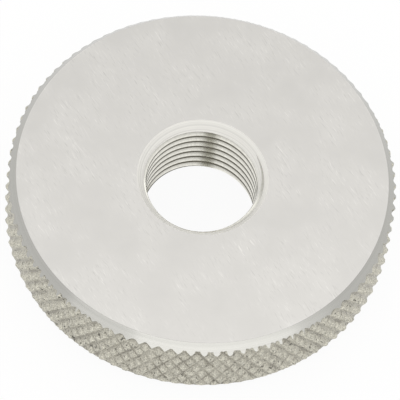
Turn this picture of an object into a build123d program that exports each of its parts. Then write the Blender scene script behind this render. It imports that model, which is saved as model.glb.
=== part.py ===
"""Thread ring gauge: one turned steel ring with ground faces, a diamond-knurled rim and a chamfered, threaded bore.

Millimetres. The ring stands on its lower face: the axis is Z and the origin is the centre of the lower face.
The bore is modelled at the thread's minor diameter, on the crests of the internal thread.
"""
import os
from math import cos, pi, radians, sin, tan

from build123d import *

# Ring blank
RIM_DIAMETER = 38.0  # over the crests of the knurl
THICKNESS = 8.5
RIM_CHAMFER_WIDTH = 0.85  # radial, on both faces
RIM_CHAMFER_HEIGHT = 1.1  # axial, on both faces

# Threaded bore
THREAD_MINOR_DIAMETER = 10.917
BORE_CHAMFER_WIDTH = 0.94  # radial, from the thread's crests out to the chamfer's rim
BORE_CHAMFER_ANGLE = 45.0  # between the chamfer and the axis

# Diamond knurl: two sets of straight-sided grooves, one set to each hand, that cross each other
RIGHT_HAND_GROOVES = 91
LEFT_HAND_GROOVES = 96
KNURL_HELIX_ANGLE = 30.0  # from the axis
KNURL_FLAT = 0.38  # left on the crests from groove to groove
GROOVE_ANGLE = 90.0  # between the two walls of a groove
RIGHT_HAND_START = 0.165  # where the first groove crosses mid height, in grooves from the X axis
LEFT_HAND_START = 0.814

# Dependent sizes
rim_radius = RIM_DIAMETER / 2
face_radius = rim_radius - RIM_CHAMFER_WIDTH
bore_radius = THREAD_MINOR_DIAMETER / 2
mouth_radius = bore_radius + BORE_CHAMFER_WIDTH
mouth_depth = BORE_CHAMFER_WIDTH / tan(radians(BORE_CHAMFER_ANGLE))
mid_height = THICKNESS / 2

# The knurl unrolled: the angle from groove to groove, a groove's turn for each millimetre of height, and its diamonds
right_pitch = 2 * pi / RIGHT_HAND_GROOVES
left_pitch = 2 * pi / LEFT_HAND_GROOVES
twist = tan(radians(KNURL_HELIX_ANGLE)) / rim_radius
diamond_height = (right_pitch + left_pitch) / (2 * twist)
diamond_width = (right_pitch + left_pitch) / 2 * rim_radius
groove_spacing = diamond_width * cos(radians(KNURL_HELIX_ANGLE))
# Each diamond is the foot of a four-sided point, cut off flat where it reaches the rim's diameter
wall_slope = tan(radians(GROOVE_ANGLE / 2))
knurl_depth = (groove_spacing - KNURL_FLAT) / 2 / wall_slope
root_radius = rim_radius - knurl_depth
point_radius = root_radius + groove_spacing / 2 / wall_slope
# Half the height of the belt of diamonds, which runs past both faces by a whole diamond
belt_half = mid_height + diamond_height
# The chamfers run on past the rim's diameter, so that the knurl alone gives the crests their place
blank_radius = rim_radius + knurl_depth
blank_chamfer_height = RIM_CHAMFER_HEIGHT * (blank_radius - face_radius) / RIM_CHAMFER_WIDTH


def on_knurl(right, left, radius):
    """Point where right-hand groove number right crosses left-hand groove number left; halves lie between grooves."""
    right_turn = (right + RIGHT_HAND_START) * right_pitch
    left_turn = (left + LEFT_HAND_START) * left_pitch
    turn = (right_turn + left_turn) / 2
    return Vector(radius * cos(turn), radius * sin(turn), mid_height + (left_turn - right_turn) / (2 * twist))


def height_of(right, left):
    return on_knurl(right + 0.5, left + 0.5, 1).Z - mid_height


def numbered(right, left):
    """The same diamond with its right-hand groove counted from 0, after whole turns are taken off."""
    turns = right // RIGHT_HAND_GROOVES
    return right - turns * RIGHT_HAND_GROOVES, left - turns * LEFT_HAND_GROOVES


def knurl_diamonds():
    """Every diamond of the belt, as the numbers of the two grooves on its left."""
    found = set()
    for right in range(RIGHT_HAND_GROOVES):
        for left in range(-LEFT_HAND_GROOVES, 2 * LEFT_HAND_GROOVES):
            if abs(height_of(right, left)) < belt_half:
                found.add((right, left))
    return found


def facet(*corners):
    return Face(Wire.make_polygon(corners, close=True))


def knurled_body():
    """Solid bounded by the flat-topped diamonds of the knurl and closed by a cone of triangles at each end."""
    diamonds = knurl_diamonds()
    upper_end = Vector(0, 0, mid_height + THICKNESS)
    lower_end = Vector(0, 0, mid_height - THICKNESS)
    facets = []
    for right, left in diamonds:
        foot = [on_knurl(right + i, left + j, root_radius) for i, j in ((0, 0), (1, 0), (1, 1), (0, 1))]
        point = on_knurl(right + 0.5, left + 0.5, point_radius)
        outward = Vector(point.X, point.Y, 0).normalized()
        top = []
        for corner in foot:
            reach = (rim_radius - outward.dot(corner)) / outward.dot(point - corner)
            top.append(corner + (point - corner) * reach)
        facets.append(facet(*top))
        beyond = ((right, left - 1), (right + 1, left), (right, left + 1), (right - 1, left))
        for side in range(4):
            following = (side + 1) % 4
            facets.append(facet(foot[side], foot[following], top[following], top[side]))
            if numbered(*beyond[side]) not in diamonds:
                end = upper_end if height_of(*beyond[side]) > 0 else lower_end
                facets.append(facet(foot[following], foot[side], end))
    return Solid(Shell(facets))


with BuildPart() as ring:
    # Section of the blank
    with BuildSketch(Plane.XZ):
        with BuildLine():
            Polyline(
                (bore_radius, mouth_depth),
                (mouth_radius, 0),
                (face_radius, 0),
                (blank_radius, blank_chamfer_height),
                (blank_radius, THICKNESS - blank_chamfer_height),
                (face_radius, THICKNESS),
                (mouth_radius, THICKNESS),
                (bore_radius, THICKNESS - mouth_depth),
                close=True,
            )
        make_face()
    revolve(axis=Axis.Z)
    # Diamond knurl round the rim
    add(knurled_body(), mode=Mode.INTERSECT)

ring.part.label = "ring"

os.makedirs("parts", exist_ok=True)
export_step(ring.part, "parts/ring.step")
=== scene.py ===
"""Thread ring gauge: a turned steel ring with ground faces, a diamond-knurled rim and a threaded bore.

Laid out as an add-on and run as a script. Metres; the ring stands on the floor with its axis on Z.
"""

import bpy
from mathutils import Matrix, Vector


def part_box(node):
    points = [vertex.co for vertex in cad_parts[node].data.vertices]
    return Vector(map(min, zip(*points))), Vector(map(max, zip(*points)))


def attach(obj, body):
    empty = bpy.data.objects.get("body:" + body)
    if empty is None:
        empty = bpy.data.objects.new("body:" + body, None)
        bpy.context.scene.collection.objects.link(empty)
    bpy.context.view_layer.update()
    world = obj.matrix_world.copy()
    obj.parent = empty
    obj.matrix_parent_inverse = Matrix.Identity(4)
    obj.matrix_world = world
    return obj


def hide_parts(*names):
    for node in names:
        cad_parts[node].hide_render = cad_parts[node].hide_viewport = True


bl_info = {
    "name": "Thread ring gauge",
    "version": (1, 0, 0),
    "blender": (4, 5, 0),
    "location": "View3D > Sidebar > Ring gauge",
    "description": "Builds a knurled, threaded ring gauge and the stage that it stands on",
    "category": "Object",
}

from math import cos, pi, radians, sin, tan

import bpy
from bpy.props import FloatProperty, FloatVectorProperty, IntProperty, PointerProperty
from mathutils import Matrix, Vector

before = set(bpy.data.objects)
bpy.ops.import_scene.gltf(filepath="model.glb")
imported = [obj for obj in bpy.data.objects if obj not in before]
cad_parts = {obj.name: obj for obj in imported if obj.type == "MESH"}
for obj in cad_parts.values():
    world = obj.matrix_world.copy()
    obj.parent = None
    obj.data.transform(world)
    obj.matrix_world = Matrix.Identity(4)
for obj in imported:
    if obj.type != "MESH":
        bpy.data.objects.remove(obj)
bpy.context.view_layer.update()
RING_LOW, RING_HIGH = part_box("ring")

MM = 0.001
WELD = 0.2e-6  # points of a turned surface that are nearer than this become one
DIAMOND_WELD = 1e-6  # the same where one diamond of the knurl meets the next
KNURL_ROWS = 14  # rows of diamonds in the belt, so that it runs past both faces
KNURL_SEED = 4.0  # of the noise that makes the knurl uneven
UPRIGHT = 0.98  # a surface of the blank is a ground face if its normal's share along the axis is above this
CREASE = radians(8)  # an edge that bends more than this stays sharp
PAPER_WHITE = 0.93  # share of plain white that the floor shows; the rest is the paper with its shadow
WALL_LIGHT = 0.95  # grey level of the studio's walls, as they light the gauge


def linear(hex_value):
    """Scene-linear colour of an sRGB hex value."""
    values = [int(hex_value[i : i + 2], 16) / 255 for i in (0, 2, 4)]
    return tuple(v / 12.92 if v <= 0.04045 else ((v + 0.055) / 1.055) ** 2.4 for v in values)


# Sizes and colours ------------------------------------------------------------------------------------------


class GaugeSizes(bpy.types.PropertyGroup):
    rim_diameter: FloatProperty(
        name="Rim diameter",
        description="Across the crests of the knurl",
        default=38.0 * MM,
        unit="LENGTH",
    )
    thickness: FloatProperty(
        name="Thickness",
        description="Between the two ground faces",
        default=RING_HIGH.z - RING_LOW.z,
        unit="LENGTH",
    )
    rim_chamfer_width: FloatProperty(
        name="Rim chamfer width",
        description="Radial width of the outer chamfers",
        default=0.85 * MM,
        unit="LENGTH",
    )
    rim_chamfer_height: FloatProperty(
        name="Rim chamfer height",
        description="Axial height of the outer chamfers",
        default=1.22 * MM,
        unit="LENGTH",
    )
    edge_break: FloatProperty(
        name="Edge break",
        description="Radius left on the turned edges",
        default=0.01 * MM,
        unit="LENGTH",
    )
    minor_diameter: FloatProperty(
        name="Minor diameter",
        description="Across the crests of the thread",
        default=10.917 * MM,
        unit="LENGTH",
    )
    thread_pitch: FloatProperty(
        name="Thread pitch",
        description="Rise of the thread in one turn",
        default=1.0 * MM,
        unit="LENGTH",
    )
    thread_turn: FloatProperty(
        name="Thread start",
        description="Turns by which the thread is set round",
        default=0.45,
        min=0.0,
        max=1.0,
    )
    mouth_width: FloatProperty(
        name="Mouth chamfer width",
        description="Radial width of the bore chamfers",
        default=0.94 * MM,
        unit="LENGTH",
    )
    right_grooves: IntProperty(
        name="Right-hand grooves",
        description="Knurl grooves that rise to the right",
        default=91,
    )
    left_grooves: IntProperty(
        name="Left-hand grooves",
        description="Knurl grooves that rise to the left",
        default=96,
    )
    right_start: FloatProperty(
        name="Right-hand start",
        description="First right-hand groove at mid height, in grooves",
        default=0.108,
    )
    left_start: FloatProperty(
        name="Left-hand start",
        description="First left-hand groove at mid height, in grooves",
        default=0.874,
    )
    helix_angle: FloatProperty(
        name="Helix angle",
        description="Lean of the knurl grooves from the axis",
        default=radians(30),
        unit="ROTATION",
    )
    knurl_flat: FloatProperty(
        name="Knurl flat",
        description="Width left on each diamond of the knurl",
        default=0.22 * MM,
        unit="LENGTH",
    )
    groove_angle: FloatProperty(
        name="Groove angle",
        description="Between the walls of a knurl groove",
        default=radians(113),
        unit="ROTATION",
    )
    unevenness: FloatProperty(
        name="Unevenness",
        description="How far the knurl strays from its true form",
        default=0.12 * MM,
        unit="LENGTH",
    )


def colour(name, hex_value, description):
    """A colour that the user can change. Its default is an sRGB hex value."""
    return FloatVectorProperty(
        name=name,
        description=description,
        subtype="COLOR",
        size=3,
        min=0.0,
        max=1.0,
        default=linear(hex_value),
    )


class GaugeColours(bpy.types.PropertyGroup):
    face: colour("Ground faces", "C3C1BD", "Steel of the two ground faces")
    chamfer: colour("Turned chamfers", "B4B3AE", "Steel of the outer chamfers")
    mouth: colour("Mouth chamfers", "EAE8E2", "Steel of the bore chamfers")
    knurl: colour("Knurl", "C8C5B8", "Steel on the crests and upper walls of the knurl")
    # Painted shade: the knurl's grooves are coloured darker to stand in for the shade that falls in them.
    groove: colour("Knurl grooves", "9E9A8F", "Steel deep in the knurl grooves")
    thread: colour("Thread flanks", "EAE8DF", "Steel of the thread flanks")
    # Painted reflection: the thread crests are coloured dark to stand in for the dark that they mirror from
    # below the gauge.
    crest: colour("Thread crests", "585446", "Steel of the thread crests")
    floor: colour("Floor", "F4F4F2", "Paper under the gauge")
    card: colour("Lens card", "7C7A68", "Card that hangs behind the camera")


# Trees ------------------------------------------------------------------------------------------------------


def add(tree, kind, links=None, **settings):
    """One node with its settings; links holds, for each input, a value, a socket or a list of sockets."""
    made = tree.nodes.new(kind)
    for name, value in settings.items():
        setattr(made, name, value)
    for key, value in (links or {}).items():
        for each in value if isinstance(value, list) else [value]:
            if isinstance(each, bpy.types.NodeSocket):
                tree.links.new(each, made.inputs[key])
            else:
                made.inputs[key].default_value = each
    return made


def new_tree(name, inputs):
    """A geometry tree with its inputs, each (name, socket type, default), and the sockets that bring them."""
    tree = bpy.data.node_groups.new(name, "GeometryNodeTree")
    tree.interface.new_socket("Geometry", in_out="OUTPUT", socket_type="NodeSocketGeometry")
    for label, kind, default in inputs:
        made = tree.interface.new_socket(label, in_out="INPUT", socket_type="NodeSocket" + kind)
        if default is not None:
            made.default_value = default
    return tree, add(tree, "NodeGroupInput").outputs


def closed_ends_tree():
    """Closes the open ends of a surface round the axis with a cone from each edge to a point on the axis."""
    tree, given = new_tree("Closed ends", [("Surface", "Geometry", None), ("Reach", "Float", 20 * MM)])
    border = add(tree, "GeometryNodeInputMeshEdgeNeighbors").outputs["Face Count"]
    open_edge = add(
        tree, "FunctionNodeCompare", {2: border, 3: 1}, data_type="INT", operation="EQUAL"
    ).outputs[0]
    drawn = add(
        tree,
        "GeometryNodeExtrudeMesh",
        {"Mesh": given["Surface"], "Selection": open_edge, "Offset Scale": 0.0},
        mode="EDGES",
    )
    position = add(tree, "GeometryNodeInputPosition").outputs[0]
    height = add(tree, "ShaderNodeSeparateXYZ", {0: position}).outputs["Z"]
    side = add(tree, "ShaderNodeMath", {0: height}, operation="SIGN").outputs[0]
    far = add(tree, "ShaderNodeMath", {0: side, 1: given["Reach"]}, operation="MULTIPLY").outputs[0]
    apex = add(tree, "ShaderNodeCombineXYZ", {"Z": far}).outputs[0]
    moved = add(
        tree,
        "GeometryNodeSetPosition",
        {"Geometry": drawn.outputs["Mesh"], "Selection": drawn.outputs["Top"], "Position": apex},
    ).outputs[0]
    merged = add(tree, "GeometryNodeMergeByDistance", {"Geometry": moved, "Distance": WELD}).outputs[0]
    add(tree, "NodeGroupOutput", {0: merged})
    return tree


def turned_tree(closed_ends):
    """Turns an outline round the axis. Rise per turn is 0 for a lathe part and the pitch for a thread."""
    tree, given = new_tree(
        "Turned outline",
        [
            ("Outline", "Object", None),
            ("Segments", "Int", 256),
            ("Rise per turn", "Float", 0.0),
            ("Reach", "Float", 20 * MM),
        ],
    )
    outline = add(tree, "GeometryNodeObjectInfo", {"Object": given["Outline"]}).outputs["Geometry"]
    count = add(tree, "GeometryNodeAttributeDomainSize", {0: outline}).outputs["Point Count"]
    columns = add(tree, "ShaderNodeMath", {0: given["Segments"], 1: 1.0}, operation="ADD").outputs[0]
    grid = add(tree, "GeometryNodeMeshGrid", {"Vertices X": columns, "Vertices Y": count}).outputs["Mesh"]
    index = add(tree, "GeometryNodeInputIndex").outputs[0]
    row = add(tree, "FunctionNodeIntegerMath", {0: index, 1: count}, operation="MODULO").outputs[0]
    column = add(
        tree, "FunctionNodeIntegerMath", {0: index, 1: count}, operation="DIVIDE_FLOOR"
    ).outputs[0]
    share = add(tree, "ShaderNodeMath", {0: column, 1: given["Segments"]}, operation="DIVIDE").outputs[0]
    position = add(tree, "GeometryNodeInputPosition").outputs[0]
    point = add(
        tree,
        "GeometryNodeSampleIndex",
        {"Geometry": outline, "Value": position, "Index": row},
        data_type="FLOAT_VECTOR",
    ).outputs[0]
    rise = add(
        tree, "ShaderNodeMath", {0: share, 1: given["Rise per turn"]}, operation="MULTIPLY"
    ).outputs[0]
    lift = add(tree, "ShaderNodeCombineXYZ", {"Z": rise}).outputs[0]
    angle = add(tree, "ShaderNodeMath", {0: share, 1: 2 * pi}, operation="MULTIPLY").outputs[0]
    lifted = add(tree, "ShaderNodeVectorMath", {0: point, 1: lift}, operation="ADD").outputs[0]
    placed = add(
        tree, "ShaderNodeVectorRotate", {"Vector": lifted, "Angle": angle}, rotation_type="Z_AXIS"
    ).outputs[0]
    surface = add(tree, "GeometryNodeSetPosition", {"Geometry": grid, "Position": placed}).outputs[0]
    merged = add(tree, "GeometryNodeMergeByDistance", {"Geometry": surface, "Distance": WELD}).outputs[0]
    ends = add(tree, "GeometryNodeGroup", node_tree=closed_ends)
    tree.links.new(merged, ends.inputs["Surface"])
    tree.links.new(given["Reach"], ends.inputs["Reach"])
    add(tree, "NodeGroupOutput", {0: ends.outputs[0]})
    return tree


def knurl_tree(closed_ends):
    """Sets one diamond in every cell between two families of helical grooves and closes the belt's ends."""
    tree, given = new_tree(
        "Knurl belt",
        [
            ("Diamond", "Object", None),
            ("Right-hand grooves", "Int", 91),
            ("Left-hand grooves", "Int", 96),
            ("Right-hand start", "Float", 0.0),
            ("Left-hand start", "Float", 0.0),
            ("Rows", "Int", KNURL_ROWS),
            ("Twist", "Float", 30.0),
            ("Mid height", "Float", 4.0 * MM),
            ("Unevenness", "Float", 0.0),
            ("Reach", "Float", 20 * MM),
            ("Seed", "Float", KNURL_SEED),
        ],
    )
    rights, lefts, rows = given["Right-hand grooves"], given["Left-hand grooves"], given["Rows"]
    index = add(tree, "GeometryNodeInputIndex").outputs[0]
    total = add(tree, "FunctionNodeIntegerMath", {0: rights, 1: rows}, operation="MULTIPLY").outputs[0]
    right = add(tree, "FunctionNodeIntegerMath", {0: index, 1: rows}, operation="DIVIDE_FLOOR").outputs[0]
    row = add(tree, "FunctionNodeIntegerMath", {0: index, 1: rows}, operation="MODULO").outputs[0]
    right_pitch = add(tree, "ShaderNodeMath", {0: 2 * pi, 1: rights}, operation="DIVIDE").outputs[0]
    left_pitch = add(tree, "ShaderNodeMath", {0: 2 * pi, 1: lefts}, operation="DIVIDE").outputs[0]
    right_place = add(
        tree, "ShaderNodeMath", {0: right, 1: given["Right-hand start"]}, operation="ADD"
    ).outputs[0]
    right_turn = add(
        tree, "ShaderNodeMath", {0: right_place, 1: right_pitch}, operation="MULTIPLY"
    ).outputs[0]
    nearest = add(tree, "ShaderNodeMath", {0: right_turn, 1: left_pitch}, operation="DIVIDE").outputs[0]
    first = add(tree, "ShaderNodeMath", {0: nearest}, operation="FLOOR").outputs[0]
    half_rows = add(tree, "FunctionNodeIntegerMath", {0: rows, 1: 2}, operation="DIVIDE_FLOOR").outputs[0]
    below = add(tree, "ShaderNodeMath", {0: row, 1: half_rows}, operation="SUBTRACT").outputs[0]
    left = add(tree, "ShaderNodeMath", {0: first, 1: below}, operation="ADD").outputs[0]
    left_place = add(
        tree, "ShaderNodeMath", {0: left, 1: given["Left-hand start"]}, operation="ADD"
    ).outputs[0]
    left_turn = add(
        tree, "ShaderNodeMath", {0: left_place, 1: left_pitch}, operation="MULTIPLY"
    ).outputs[0]
    # Two grooves cross halfway between their turns, at a height of half their difference over the twist.
    both = add(tree, "ShaderNodeMath", {0: left_turn, 1: right_turn}, operation="ADD").outputs[0]
    angle = add(tree, "ShaderNodeMath", {0: both, 1: 0.5}, operation="MULTIPLY").outputs[0]
    apart = add(tree, "ShaderNodeMath", {0: left_turn, 1: right_turn}, operation="SUBTRACT").outputs[0]
    half = add(tree, "ShaderNodeMath", {0: apart, 1: 0.5}, operation="MULTIPLY").outputs[0]
    climb = add(tree, "ShaderNodeMath", {0: half, 1: given["Twist"]}, operation="DIVIDE").outputs[0]
    height = add(tree, "ShaderNodeMath", {0: climb, 1: given["Mid height"]}, operation="ADD").outputs[0]
    place = add(tree, "ShaderNodeCombineXYZ", {"Z": height}).outputs[0]
    turn = add(tree, "ShaderNodeCombineXYZ", {"Z": angle}).outputs[0]
    cells = add(tree, "GeometryNodePoints", {"Count": total, "Position": place}).outputs[0]
    diamond = add(tree, "GeometryNodeObjectInfo", {"Object": given["Diamond"]}).outputs["Geometry"]
    rotation = add(tree, "FunctionNodeEulerToRotation", {0: turn}).outputs[0]
    set_in = add(
        tree, "GeometryNodeInstanceOnPoints", {"Points": cells, "Instance": diamond, "Rotation": rotation}
    ).outputs[0]
    real = add(tree, "GeometryNodeRealizeInstances", {0: set_in}).outputs[0]
    merged = add(
        tree, "GeometryNodeMergeByDistance", {"Geometry": real, "Distance": DIAMOND_WELD}
    ).outputs[0]
    # The form strays by a smooth noise 0.7 mm across, where a diamond is 1.1 mm wide.
    position = add(tree, "GeometryNodeInputPosition").outputs[0]
    stray = add(
        tree,
        "ShaderNodeTexNoise",
        {"Vector": position, "W": given["Seed"], "Scale": 1 / (0.7 * MM), "Detail": 2.0},
        noise_dimensions="4D",
    ).outputs["Color"]
    centred = add(
        tree, "ShaderNodeVectorMath", {0: stray, 1: (0.5, 0.5, 0.5)}, operation="SUBTRACT"
    ).outputs[0]
    double = add(tree, "ShaderNodeMath", {0: given["Unevenness"], 1: 2.0}, operation="MULTIPLY").outputs[0]
    offset = add(tree, "ShaderNodeVectorMath", {0: centred, "Scale": double}, operation="SCALE").outputs[0]
    worn = add(tree, "GeometryNodeSetPosition", {"Geometry": merged, "Offset": offset}).outputs[0]
    ends = add(tree, "GeometryNodeGroup", node_tree=closed_ends)
    tree.links.new(worn, ends.inputs["Surface"])
    tree.links.new(given["Reach"], ends.inputs["Reach"])
    add(tree, "NodeGroupOutput", {0: ends.outputs[0]})
    return tree


def gauge_tree():
    """The whole gauge: the turned blank where it meets the knurl, less the tap and the two mouth cutters."""
    closed_ends = closed_ends_tree()
    turned, knurl = turned_tree(closed_ends), knurl_tree(closed_ends)
    passed = [
        (item.name, item.socket_type.replace("NodeSocket", ""), None)
        for item in knurl.interface.items_tree
        if item.in_out == "INPUT"
    ]
    finishes = ("Face steel", "Chamfer steel", "Knurl steel", "Thread steel", "Mouth steel")
    tree, given = new_tree(
        "Ring gauge",
        [
            *passed,
            ("Blank outline", "Object", None),
            ("Tap outline", "Object", None),
            ("Mouth outline", "Object", None),
            ("Thickness", "Float", 8.5 * MM),
            ("Pitch", "Float", 1.0 * MM),
            ("Tap turn", "Float", 0.0),
            ("Rim segments", "Int", 720),
            ("Bore segments", "Int", 288),
            *((name, "Material", None) for name in finishes),
        ],
    )

    def group(kind, links):
        """A nested tree with sockets linked to its inputs."""
        made = add(tree, "GeometryNodeGroup", node_tree=kind)
        for name, socket in links.items():
            tree.links.new(socket, made.inputs[name])
        return made.outputs[0]

    def marked(geometry, name, where=True):
        """Notes on each cutter which steel it leaves, because the cut itself keeps no material."""
        return add(
            tree,
            "GeometryNodeStoreNamedAttribute",
            {"Geometry": geometry, "Selection": where, "Name": "finish", "Value": finishes.index(name)},
            data_type="INT",
            domain="FACE",
        ).outputs[0]

    belt = group(knurl, {name: given[name] for name, _, _ in passed})
    rim_turns = {"Segments": given["Rim segments"], "Reach": given["Reach"]}
    bore_turns = {"Segments": given["Bore segments"], "Reach": given["Reach"]}
    blank = group(turned, {"Outline": given["Blank outline"], **rim_turns})
    tap = group(turned, {"Outline": given["Tap outline"], "Rise per turn": given["Pitch"], **bore_turns})
    mouth = group(turned, {"Outline": given["Mouth outline"], **bore_turns})
    turn = add(tree, "ShaderNodeCombineXYZ", {"Z": given["Tap turn"]}).outputs[0]
    turned_tap = add(tree, "GeometryNodeTransform", {"Geometry": tap, "Rotation": turn}).outputs[0]
    up = add(tree, "ShaderNodeCombineXYZ", {"Z": given["Thickness"]}).outputs[0]
    lower_mouth = add(
        tree, "GeometryNodeTransform", {"Geometry": mouth, "Translation": up, "Rotation": (pi, 0.0, 0.0)}
    ).outputs[0]

    normal = add(tree, "GeometryNodeInputNormal").outputs[0]
    facing = add(tree, "ShaderNodeSeparateXYZ", {0: normal}).outputs["Z"]
    upright = add(tree, "ShaderNodeMath", {0: facing}, operation="ABSOLUTE").outputs[0]
    leaning = add(
        tree, "FunctionNodeCompare", {0: upright, 1: UPRIGHT}, data_type="FLOAT", operation="LESS_THAN"
    ).outputs[0]
    turned_blank = marked(marked(blank, "Face steel"), "Chamfer steel", leaning)
    knurled = add(
        tree,
        "GeometryNodeMeshBoolean",
        {"Mesh 2": [turned_blank, marked(belt, "Knurl steel")]},
        operation="INTERSECT",
        solver="MANIFOLD",
    ).outputs[0]
    cutters = [
        marked(turned_tap, "Thread steel"),
        marked(mouth, "Mouth steel"),
        marked(lower_mouth, "Mouth steel"),
    ]
    bored = add(
        tree,
        "GeometryNodeMeshBoolean",
        {"Mesh 1": knurled, "Mesh 2": cutters},
        operation="DIFFERENCE",
        solver="MANIFOLD",
    ).outputs[0]

    bend = add(tree, "GeometryNodeInputMeshEdgeAngle").outputs["Unsigned Angle"]
    sharp = add(
        tree, "FunctionNodeCompare", {0: bend, 1: CREASE}, data_type="FLOAT", operation="GREATER_THAN"
    ).outputs[0]
    smooth = add(tree, "GeometryNodeSetShadeSmooth", {"Geometry": bored}, domain="FACE").outputs[0]
    creased = add(
        tree,
        "GeometryNodeSetShadeSmooth",
        {"Geometry": smooth, "Selection": sharp, "Shade Smooth": False},
        domain="EDGE",
    ).outputs[0]
    body = add(tree, "GeometryNodeRealizeInstances", {0: creased}).outputs[0]
    mark = add(tree, "GeometryNodeInputNamedAttribute", {"Name": "finish"}, data_type="INT").outputs[0]
    for number, name in enumerate(finishes):
        this = add(
            tree, "FunctionNodeCompare", {2: mark, 3: number}, data_type="INT", operation="EQUAL"
        ).outputs[0]
        body = add(
            tree, "GeometryNodeSetMaterial", {"Geometry": body, "Selection": this, "Material": given[name]}
        ).outputs[0]
    add(tree, "NodeGroupOutput", {0: body})
    return tree


# Outlines and the diamond -----------------------------------------------------------------------------------


def mesh_object(name, points, edges=(), faces=()):
    """An object with a plain mesh."""
    mesh = bpy.data.meshes.new(name)
    mesh.from_pydata(points, list(edges), list(faces))
    return bpy.data.objects.new(name, mesh)


def outline(name, points):
    """A line through (radius, height) points, for the tree to turn round the axis."""
    return mesh_object(name, [(r, 0.0, z) for r, z in points], [(i, i + 1) for i in range(len(points) - 1)])


def rounded(before, corner, after, radius, steps=3):
    """Points that round a corner of an outline, from radius before it to radius past it."""
    b, c, a = Vector(before), Vector(corner), Vector(after)
    into, out = (b - c).normalized(), (a - c).normalized()
    start, end = c + into * radius, c + out * radius
    points = []
    for i in range(steps + 1):
        t = i / steps
        points.append(tuple((start * (1 - t) + c * t) * (1 - t) + (c * (1 - t) + end * t) * t))
    return points


def blank_points(sizes):
    """The blank, with chamfers that run on past the rim, so that the knurl alone gives the rim its form."""
    rim, top = sizes.rim_diameter / 2, sizes.thickness
    face, slope = rim - sizes.rim_chamfer_width, sizes.rim_chamfer_height / sizes.rim_chamfer_width
    past = 0.4 * MM
    wide = rim + past
    drop = (wide - face) * slope
    edge = rounded((wide, top - drop), (face, top), (0.0, top), sizes.edge_break)
    upper = [(wide, top - drop), *edge, (0.0, top)]
    return [(r, top - z) for r, z in reversed(upper)] + upper


def mouth_points(sizes):
    """The upper cutter: its tip is on the axis inside the gauge, and it opens past the upper face."""
    minor, top = sizes.minor_diameter / 2, sizes.thickness
    mouth = minor + sizes.mouth_width
    past = 1.0 * MM
    edge = rounded((mouth - past, top - past), (mouth, top), (mouth + past, top), sizes.edge_break)
    return [(0.0, top - mouth), *edge, (mouth + sizes.edge_break, top + past), (0.0, top + past)]


def tap_points(sizes):
    """Sixty-degree thread: its crest flat is a quarter of the pitch, and its root flat an eighth."""
    pitch, minor = sizes.thread_pitch, sizes.minor_diameter / 2
    half_crest, half_root, middle = 1 / 8 * pitch, 1 / 16 * pitch, 1 / 2 * pitch
    deep = minor + pitch * (1 - 1 / 4 - 1 / 8) / 2 / tan(radians(30))
    ease = 0.035 * pitch
    # The crest flat, a small round, the flank, a small round and the root flat, then the same back.
    steps = [
        (-half_crest + ease / 2, minor),
        (half_crest - ease / 2, minor),
        (half_crest + ease / 2, minor + ease * 0.9),
        (middle - half_root - ease, deep - ease * 1.73),
        (middle - half_root + ease * 0.4, deep),
        (middle + half_root - ease * 0.4, deep),
        (middle + half_root + ease, deep - ease * 1.73),
        (7 / 8 * pitch - ease / 2, minor + ease * 0.9),
    ]
    # The tap runs out a turn or more past both faces.
    turns = round(sizes.thickness / pitch) + 4
    return [(r, (n - 2) * pitch + z) for n in range(turns) for z, r in steps]


def diamond_mesh(sizes):
    """One raised diamond of the knurl, on a cell between four grooves, with broken edges and a flat top."""
    rim = sizes.rim_diameter / 2
    twist = tan(sizes.helix_angle) / rim
    pitches = 2 * pi / sizes.right_grooves, 2 * pi / sizes.left_grooves
    spacing = (pitches[0] + pitches[1]) / 2 * rim * cos(sizes.helix_angle)
    depth = (spacing - sizes.knurl_flat) / 2 / tan(sizes.groove_angle / 2)
    crest = (spacing - sizes.knurl_flat) / 2 / spacing
    # How far in from the grooves, how high as a share of the depth, and how much of each corner is cut away.
    rings = [
        (0.0, 0.0, 0.0),
        (crest * 0.25, 0.08, 0.0),
        (crest * 0.55, 0.44, 0.01),
        (crest * 0.85, 0.86, 0.015),
        (crest * 1.1, 1.0, 0.02),
    ]
    points, faces = [], []
    for inset, height, cut in rings:
        low, high = inset, 1 - inset
        corners = [
            (low + cut, low),
            (high - cut, low),
            (high, low + cut),
            (high, high - cut),
            (high - cut, high),
            (low + cut, high),
            (low, high - cut),
            (low, low + cut),
        ]
        for right, left in corners:
            turn = (right * pitches[0] + left * pitches[1]) / 2
            radius = rim - depth + depth * height
            z = (left * pitches[1] - right * pitches[0]) / (2 * twist)
            points.append((radius * cos(turn), radius * sin(turn), z))
    for ring in range(len(rings) - 1):
        for i in range(8):
            a, b = ring * 8 + i, ring * 8 + (i + 1) % 8
            face = (a, b, b + 8, a + 8)
            if ring == 0 and i % 2 == 1:  # no corner is cut there, so a and b share a place
                face = (a, b + 8, a + 8)
            faces.append(face)
    last = (len(rings) - 1) * 8
    faces.append(tuple(range(last, last + 8)))
    return mesh_object("diamond", points, (), faces)


# Steels -----------------------------------------------------------------------------------------------------


def new_material(name):
    """A material with an empty tree."""
    material = bpy.data.materials.new(name)
    material.use_nodes = True
    material.node_tree.nodes.clear()
    return material, material.node_tree


def new_steel(name):
    """A metal with its shader, and the place on the piece that its patterns read."""
    material, tree = new_material(name)
    shader = add(tree, "ShaderNodeBsdfPrincipled", {"Metallic": 1.0})
    add(tree, "ShaderNodeOutputMaterial", {"Surface": shader.outputs[0]})
    return material, tree, shader, add(tree, "ShaderNodeTexCoord").outputs["Object"]


def from_axis(tree, place):
    """The place with its height left out, and its distance from the axis."""
    flat = add(
        tree, "ShaderNodeVectorMath", {0: place, 1: (1.0, 1.0, 0.0)}, operation="MULTIPLY"
    ).outputs[0]
    return flat, add(tree, "ShaderNodeVectorMath", {0: flat}, operation="LENGTH").outputs["Value"]


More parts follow.
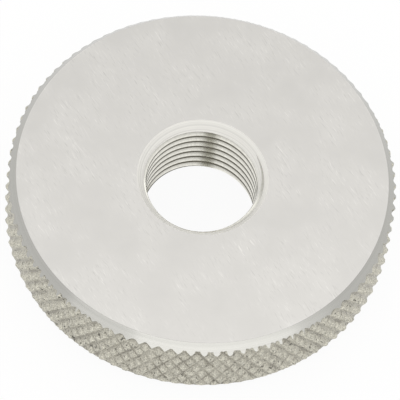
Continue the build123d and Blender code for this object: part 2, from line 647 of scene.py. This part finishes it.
def ground_face_steel(colours):
    """Hardened gauge steel, surface ground: satin and faintly cloudy, with clusters of short scratches."""
    material, tree, shader, place = new_steel("ground_face_steel")
    cloud = add(
        tree, "ShaderNodeTexNoise", {"Vector": place, "Scale": 1 / (3.5 * MM), "Detail": 3.0}
    ).outputs["Fac"]
    # Scratches in two directions, under 1 mm long. Real ones are a few hundredths wide, drawn wider to show.
    length, width = 0.9 * MM, 0.07 * MM
    marks = []
    for lean in (-47, -56):
        along = add(
            tree,
            "ShaderNodeMapping",
            {"Vector": place, "Rotation": (0, 0, radians(lean)), "Scale": (length, width, width)},
            vector_type="TEXTURE",
        ).outputs[0]
        scratch = add(
            tree, "ShaderNodeTexNoise", {"Vector": along, "Scale": 1.0, "Detail": 0.0}
        ).outputs["Fac"]
        light = add(
            tree, "ShaderNodeMapRange", {"Value": scratch, "From Min": 0.73, "From Max": 0.82}
        ).outputs[0]
        dark = add(
            tree, "ShaderNodeMapRange", {"Value": scratch, "From Min": 0.27, "From Max": 0.18}
        ).outputs[0]
        marks.append(add(tree, "ShaderNodeMath", {0: light, 1: dark}, operation="SUBTRACT").outputs[0])
    mark = add(tree, "ShaderNodeMath", {0: marks[0], 1: marks[1]}, operation="ADD").outputs[0]
    cluster = add(
        tree, "ShaderNodeMapRange", {"Value": cloud, "From Min": 0.42, "From Max": 0.6, "To Min": 0.05}
    ).outputs[0]
    shown = add(tree, "ShaderNodeMath", {0: mark, 1: cluster}, operation="MULTIPLY").outputs[0]
    haze = add(
        tree,
        "ShaderNodeMapRange",
        {"Value": cloud, "From Min": 0.3, "From Max": 0.7, "To Min": 0.965, "To Max": 1.035},
    ).outputs[0]
    contrast = 0.16  # how much lighter or darker than the face a scratch is
    tone = add(
        tree, "ShaderNodeMath", {0: shown, 1: contrast, 2: haze}, operation="MULTIPLY_ADD"
    ).outputs[0]
    tinted = add(
        tree, "ShaderNodeVectorMath", {0: tuple(colours.face), "Scale": tone}, operation="SCALE"
    ).outputs[0]
    tree.links.new(tinted, shader.inputs["Base Color"])
    shader.inputs["Roughness"].default_value = 0.3
    return material


def turned_steel(name, tone_colour, ring_width, marks, dullness, metal):
    """Lathe-turned steel: a clean cut with fine rings that run round the axis.

    In the bore's mouth the cut is dull and scatters light as a matt surface does, so metal is under 1 there.
    """
    material, tree, shader, place = new_steel(name)
    flat, radius = from_axis(tree, place)
    height = add(tree, "ShaderNodeSeparateXYZ", {0: place}).outputs["Z"]
    # A trace of the place round the axis lets each ring change slowly along its length.
    around = add(tree, "ShaderNodeVectorMath", {0: flat, "Scale": 0.004}, operation="SCALE").outputs[0]
    across = add(tree, "ShaderNodeCombineXYZ", {"X": radius, "Z": height}).outputs[0]
    ringed = add(tree, "ShaderNodeVectorMath", {0: around, 1: across}, operation="ADD").outputs[0]
    # The feed leaves a ring each 0.05 mm, too fine to show, so ring_width is 0.1 mm or more.
    rings = add(
        tree, "ShaderNodeTexNoise", {"Vector": ringed, "Scale": 1 / ring_width, "Detail": 2.0}
    ).outputs["Fac"]
    tone = add(
        tree,
        "ShaderNodeMapRange",
        {"Value": rings, "From Min": 0.3, "From Max": 0.7, "To Min": 1 - marks, "To Max": 1 + marks / 2},
    ).outputs[0]
    tinted = add(
        tree, "ShaderNodeVectorMath", {0: tuple(tone_colour), "Scale": tone}, operation="SCALE"
    ).outputs[0]
    roughest, smoothest = dullness + 0.04, dullness - 0.04
    rough = add(
        tree,
        "ShaderNodeMapRange",
        {"Value": rings, "From Min": 0.3, "From Max": 0.7, "To Min": roughest, "To Max": smoothest},
    ).outputs[0]
    bump = add(
        tree, "ShaderNodeBump", {"Height": rings, "Strength": 0.2, "Distance": 0.01 * MM}
    ).outputs[0]
    for socket_name, socket in (("Base Color", tinted), ("Roughness", rough), ("Normal", bump)):
        tree.links.new(socket, shader.inputs[socket_name])
    shader.inputs["Metallic"].default_value = metal
    return material


def knurled_steel(colours, sizes):
    """Cut-knurled steel: dull, speckled and a little torn, and paler from the grooves up to the crests; the
    darker grooves are painted shade.
    """
    material, tree, shader, place = new_steel("knurled_steel")
    _, radius = from_axis(tree, place)
    rim, depth, ragged_height = sizes.rim_diameter / 2, 0.3 * MM, 0.12 * MM
    # Torn metal is a few hundredths across, and is drawn 0.13 mm across to show.
    grain = add(
        tree,
        "ShaderNodeTexNoise",
        {"Vector": place, "Scale": 1 / (0.13 * MM), "Detail": 2.0, "Roughness": 0.75},
    ).outputs["Fac"]
    # The colour goes by depth below the rim, darker towards the groove's foot as painted shade, and the
    # grain, added to it, makes each layer's edge ragged.
    ragged = add(
        tree, "ShaderNodeMath", {0: grain, 1: ragged_height, 2: radius}, operation="MULTIPLY_ADD"
    ).outputs[0]
    foot, top = rim - depth + ragged_height / 2, rim + ragged_height / 2
    ramp = add(tree, "ShaderNodeMapRange", {"Value": ragged, "From Min": foot, "From Max": top}).outputs[0]
    # The ramp runs from painted groove shade at the foot, through painted shade on the walls, to the knurl's
    # own steel on the crests.
    groove, knurl = Vector(colours.groove), Vector(colours.knurl)
    groove_shade_ramp = add(tree, "ShaderNodeValToRGB", {"Fac": ramp})
    stops = groove_shade_ramp.color_ramp.elements
    stops[0].position, stops[0].color = 0.0, (*groove, 1.0)
    stops[1].position, stops[1].color = 0.65, (*knurl, 1.0)
    wall_shade = stops.new(0.07)
    wall_shade.color = (*groove.lerp(knurl, 0.6), 1.0)
    tone = add(
        tree,
        "ShaderNodeMapRange",
        {"Value": grain, "From Min": 0.3, "From Max": 0.7, "To Min": 0.5, "To Max": 1.45},
    ).outputs[0]
    # Pits as fine as the grain, few and dark, are drawn 0.35 mm across to show.
    pits = add(
        tree, "ShaderNodeTexNoise", {"Vector": place, "Scale": 1 / (0.35 * MM), "Detail": 1.0}
    ).outputs["Fac"]
    pit = add(
        tree,
        "ShaderNodeMapRange",
        {"Value": pits, "From Min": 0.66, "From Max": 0.72, "To Min": 1.0, "To Max": 0.3},
    ).outputs[0]
    both = add(tree, "ShaderNodeMath", {0: tone, 1: pit}, operation="MULTIPLY").outputs[0]
    tinted = add(
        tree, "ShaderNodeVectorMath", {0: groove_shade_ramp.outputs["Color"], "Scale": both}, operation="SCALE"
    ).outputs[0]
    bump = add(
        tree, "ShaderNodeBump", {"Height": grain, "Strength": 0.8, "Distance": 0.05 * MM}
    ).outputs[0]
    for name, socket in (("Base Color", tinted), ("Normal", bump)):
        tree.links.new(socket, shader.inputs[name])
    shader.inputs["Roughness"].default_value = 0.42
    return material


def threaded_steel(colours, sizes):
    """Ground internal thread: smooth pale flanks, dimmer towards the root as painted shade, and dark crests
    that are a painted reflection of the dark below the gauge.
    """
    material, tree, shader, place = new_steel("threaded_steel")
    _, radius = from_axis(tree, place)
    minor = sizes.minor_diameter / 2
    # Painted reflection: this band on the crests takes the dark crest colour.
    off_painted_crest = add(
        tree,
        "ShaderNodeMapRange",
        {"Value": radius, "From Min": minor + 0.005 * MM, "From Max": minor + 0.04 * MM},
    ).outputs[0]
    # Painted shade: the flanks are coloured dimmer towards the root, where the crest above shades them.
    flank_start, flank_end = minor + 0.08 * MM, minor + 0.36 * MM
    root_shade = add(
        tree,
        "ShaderNodeMapRange",
        {"Value": radius, "From Min": flank_start, "From Max": flank_end, "To Min": 1.0, "To Max": 0.6},
    ).outputs[0]
    flank = add(
        tree, "ShaderNodeVectorMath", {0: tuple(colours.thread), "Scale": root_shade}, operation="SCALE"
    ).outputs[0]
    mixed = add(
        tree,
        "ShaderNodeMix",
        {"Factor": off_painted_crest, "A": (*colours.crest, 1.0), "B": flank},
        data_type="RGBA",
    ).outputs["Result"]
    # A faint mottle from the wheel's grit, a few hundredths across, is drawn 0.25 mm across to show.
    grain = add(
        tree, "ShaderNodeTexNoise", {"Vector": place, "Scale": 1 / (0.25 * MM), "Detail": 2.0}
    ).outputs["Fac"]
    tone = add(
        tree,
        "ShaderNodeMapRange",
        {"Value": grain, "From Min": 0.3, "From Max": 0.7, "To Min": 0.9, "To Max": 1.05},
    ).outputs[0]
    tinted = add(tree, "ShaderNodeVectorMath", {0: mixed, "Scale": tone}, operation="SCALE").outputs[0]
    tree.links.new(tinted, shader.inputs["Base Color"])
    shader.inputs["Roughness"].default_value = 0.2
    return material


# The stage's paper, card, walls and lamps -------------------------------------------------------------------


def seen(tree):
    """1 where a surface is seen, also in a gloss or through glass, and 0 where it only gives light."""
    path = add(tree, "ShaderNodeLightPath").outputs
    straight_or_gloss = add(
        tree, "ShaderNodeMath", {0: path["Is Camera Ray"], 1: path["Is Glossy Ray"]}, operation="MAXIMUM"
    ).outputs[0]
    return add(
        tree, "ShaderNodeMath", {0: straight_or_gloss, 1: path["Is Transmission Ray"]}, operation="MAXIMUM"
    ).outputs[0]


def floor_paper(colours):
    """Matt seamless paper: pale and even. It shows white, and still takes part of the gauge's shadow."""
    material, tree = new_material("floor_paper")
    share = add(tree, "ShaderNodeMath", {0: seen(tree), 1: PAPER_WHITE}, operation="MULTIPLY").outputs[0]
    paper = add(tree, "ShaderNodeBsdfDiffuse", {"Color": (*colours.floor, 1.0)}).outputs[0]
    white = add(tree, "ShaderNodeEmission", {"Strength": 1.0}).outputs[0]
    mixed = add(tree, "ShaderNodeMixShader", {0: share, 1: paper, 2: white}).outputs[0]
    add(tree, "ShaderNodeOutputMaterial", {"Surface": mixed})
    return material


def grey_card(colours):
    """Matt grey studio card: it gives back little light, so the steel shows it as a soft dark patch."""
    material, tree = new_material("grey_card")
    paper = add(tree, "ShaderNodeBsdfDiffuse", {"Color": (*colours.card, 1.0)}).outputs[0]
    add(tree, "ShaderNodeOutputMaterial", {"Surface": paper})
    return material


def studio_world():
    """Pale walls all round: white where they are seen, and a touch under white as they light the gauge."""
    world = bpy.data.worlds.new("studio")
    world.use_nodes = True
    tree = world.node_tree
    tree.nodes.clear()
    light = add(
        tree, "ShaderNodeBackground", {"Color": (WALL_LIGHT, WALL_LIGHT, WALL_LIGHT, 1.0)}
    ).outputs[0]
    white = add(tree, "ShaderNodeBackground", {"Color": (1.0, 1.0, 1.0, 1.0)}).outputs[0]
    mixed = add(tree, "ShaderNodeMixShader", {0: seen(tree), 1: light, 2: white}).outputs[0]
    add(tree, "ShaderNodeOutputWorld", {"Surface": mixed})
    return world


def sheet(scene, name, middle, along, up, material):
    """A flat rectangle of the stage. Along and up run from its middle to the middles of two of its sides."""
    corners = [middle + along * x + up * y for x, y in ((-1, -1), (1, -1), (1, 1), (-1, 1))]
    made = mesh_object(name, corners, (), [(0, 1, 2, 3)])
    made.data.materials.append(material)
    scene.collection.objects.link(made)
    return made


def area_lamp(scene, name, turn, lift, distance, size, radiance):
    """A soft box that faces the gauge: turn and lift, in degrees, say where it hangs, radiance how bright."""
    data = bpy.data.lights.new(name, "AREA")
    data.shape, data.size, data.size_y = "RECTANGLE", size[0], size[1]
    data.energy = radiance * pi * size[0] * size[1]
    lamp = bpy.data.objects.new(name, data)
    turn, lift = radians(turn), radians(lift)
    away = Vector((cos(lift) * sin(turn), -cos(lift) * cos(turn), sin(lift)))
    lamp.location = away * distance
    lamp.rotation_euler = away.to_track_quat("Z", "Y").to_euler()
    scene.collection.objects.link(lamp)


# Operators --------------------------------------------------------------------------------------------------


class GAUGE_OT_build_ring(bpy.types.Operator):
    """Build the knurled and threaded ring and let it stand for the plain one"""

    bl_idname = "gauge.build_ring"
    bl_label = "Build ring"

    def execute(self, context):
        sizes, colours = context.scene.gauge_sizes, context.scene.gauge_colours
        helpers = {
            "Blank outline": outline("blank_outline", blank_points(sizes)),
            "Tap outline": outline("tap_outline", tap_points(sizes)),
            "Mouth outline": outline("mouth_outline", mouth_points(sizes)),
            "Diamond": diamond_mesh(sizes),
        }
        values = {
            **helpers,
            "Right-hand grooves": sizes.right_grooves,
            "Left-hand grooves": sizes.left_grooves,
            "Right-hand start": sizes.right_start,
            "Left-hand start": sizes.left_start,
            "Rows": KNURL_ROWS,
            "Twist": tan(sizes.helix_angle) / (sizes.rim_diameter / 2),
            "Mid height": sizes.thickness / 2,
            "Unevenness": sizes.unevenness,
            "Reach": sizes.thickness * 2,
            "Seed": KNURL_SEED,
            "Thickness": sizes.thickness,
            "Pitch": sizes.thread_pitch,
            "Tap turn": sizes.thread_turn * 2 * pi,
            "Face steel": ground_face_steel(colours),
            "Chamfer steel": turned_steel(
                "turned_chamfer_steel", colours.chamfer, 0.1 * MM, marks=0.04, dullness=0.2, metal=1.0
            ),
            "Knurl steel": knurled_steel(colours, sizes),
            "Thread steel": threaded_steel(colours, sizes),
            "Mouth steel": turned_steel(
                "turned_mouth_steel", colours.mouth, 0.16 * MM, marks=0.2, dullness=0.4, metal=0.3
            ),
        }
        tree = gauge_tree()
        maker = mesh_object("maker", [(0, 0, 0)])
        context.scene.collection.objects.link(maker)
        modifier = maker.modifiers.new("gauge", "NODES")
        modifier.node_group = tree
        for item in tree.interface.items_tree:
            if item.in_out == "INPUT" and item.name in values:
                modifier[item.identifier] = values[item.name]
        graph = context.evaluated_depsgraph_get()
        mesh = bpy.data.meshes.new_from_object(maker.evaluated_get(graph))
        if not mesh.polygons:
            raise RuntimeError("the ring came out empty")
        mesh.name = "ring_gauge"
        for gone in (maker, *helpers.values()):
            bpy.data.objects.remove(gone)
        ring = bpy.data.objects.new("ring_gauge", mesh)
        context.scene.collection.objects.link(ring)
        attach(ring, "root")
        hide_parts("ring")
        return {"FINISHED"}


class GAUGE_OT_build_stage(bpy.types.Operator):
    """Lay the floor, hang the soft lamps and set up the camera"""

    bl_idname = "gauge.build_stage"
    bl_label = "Build stage"

    def execute(self, context):
        scene, colours = context.scene, context.scene.gauge_colours
        half_side = 3.0
        along, across = Vector((half_side, 0.0, 0.0)), Vector((0.0, half_side, 0.0))
        floor = sheet(scene, "floor", Vector((0.0, 0.0, 0.0)), along, across, floor_paper(colours))
        scene.world = studio_world()

        area_lamp(scene, "front_box", turn=16, lift=8.5, distance=2.0, size=(3.0, 0.5), radiance=0.5)
        area_lamp(scene, "wide_box", turn=8, lift=7.5, distance=2.0, size=(7.4, 0.5), radiance=0.42)
        area_lamp(scene, "top_box", turn=200, lift=87, distance=0.7, size=(0.58, 0.58), radiance=0.72)
        area_lamp(scene, "back_box", turn=180, lift=32, distance=2.0, size=(4.0, 0.9), radiance=0.5)

        camera_data = bpy.data.cameras.new("camera")
        camera_data.lens, camera_data.sensor_width = 512.1, 36.0
        camera_data.clip_start, camera_data.clip_end = 0.01, 50.0
        camera = bpy.data.objects.new("camera", camera_data)
        lift, roll, distance = radians(60.95), radians(7.33), 0.5529
        back = Vector((0.0, -cos(lift), sin(lift)))
        level, rise = Vector((1.0, 0.0, 0.0)), Vector((0.0, sin(lift), cos(lift)))
        right, up = level * cos(roll) + rise * sin(roll), rise * cos(roll) - level * sin(roll)
        aside, below = 0.26, 2.23  # mm from the middle of the upper face to where the camera aims
        aim = Vector((0.0, 0.0, RING_HIGH.z)) - right * aside * MM - up * below * MM
        turned = Matrix((right, up, back)).transposed().to_4x4()
        camera.matrix_world = Matrix.Translation(aim + back * distance) @ turned
        scene.collection.objects.link(camera)
        scene.camera = camera

        # A card behind the camera shows in the steel as a soft dark streak down the thread.
        half_wide, half_high, behind = 0.088, 0.137, 0.9
        card = sheet(scene, "lens_card", back * behind, right * half_wide, up * half_high, grey_card(colours))
        scene.view_settings.view_transform = "Standard"
        return {"FINISHED"}


class GAUGE_PT_panel(bpy.types.Panel):
    """Lists the builders with the sizes and colours that they use"""

    bl_idname = "GAUGE_PT_panel"
    bl_label = "Thread ring gauge"
    bl_space_type = "VIEW_3D"
    bl_region_type = "UI"
    bl_category = "Ring gauge"

    def draw(self, context):
        layout = self.layout
        for group in (context.scene.gauge_sizes, context.scene.gauge_colours):
            box = layout.column()
            for name in group.__annotations__:
                box.prop(group, name)
        for operator in (GAUGE_OT_build_ring, GAUGE_OT_build_stage):
            layout.operator(operator.bl_idname)


CLASSES = (GaugeSizes, GaugeColours, GAUGE_OT_build_ring, GAUGE_OT_build_stage, GAUGE_PT_panel)


def register():
    for each in CLASSES:
        bpy.utils.register_class(each)
    bpy.types.Scene.gauge_sizes = PointerProperty(type=GaugeSizes)
    bpy.types.Scene.gauge_colours = PointerProperty(type=GaugeColours)


def unregister():
    del bpy.types.Scene.gauge_colours
    del bpy.types.Scene.gauge_sizes
    for each in reversed(CLASSES):
        bpy.utils.unregister_class(each)


def main():
    register()
    bpy.ops.gauge.build_ring()
    bpy.ops.gauge.build_stage()


if __name__ == "__main__":
    main()
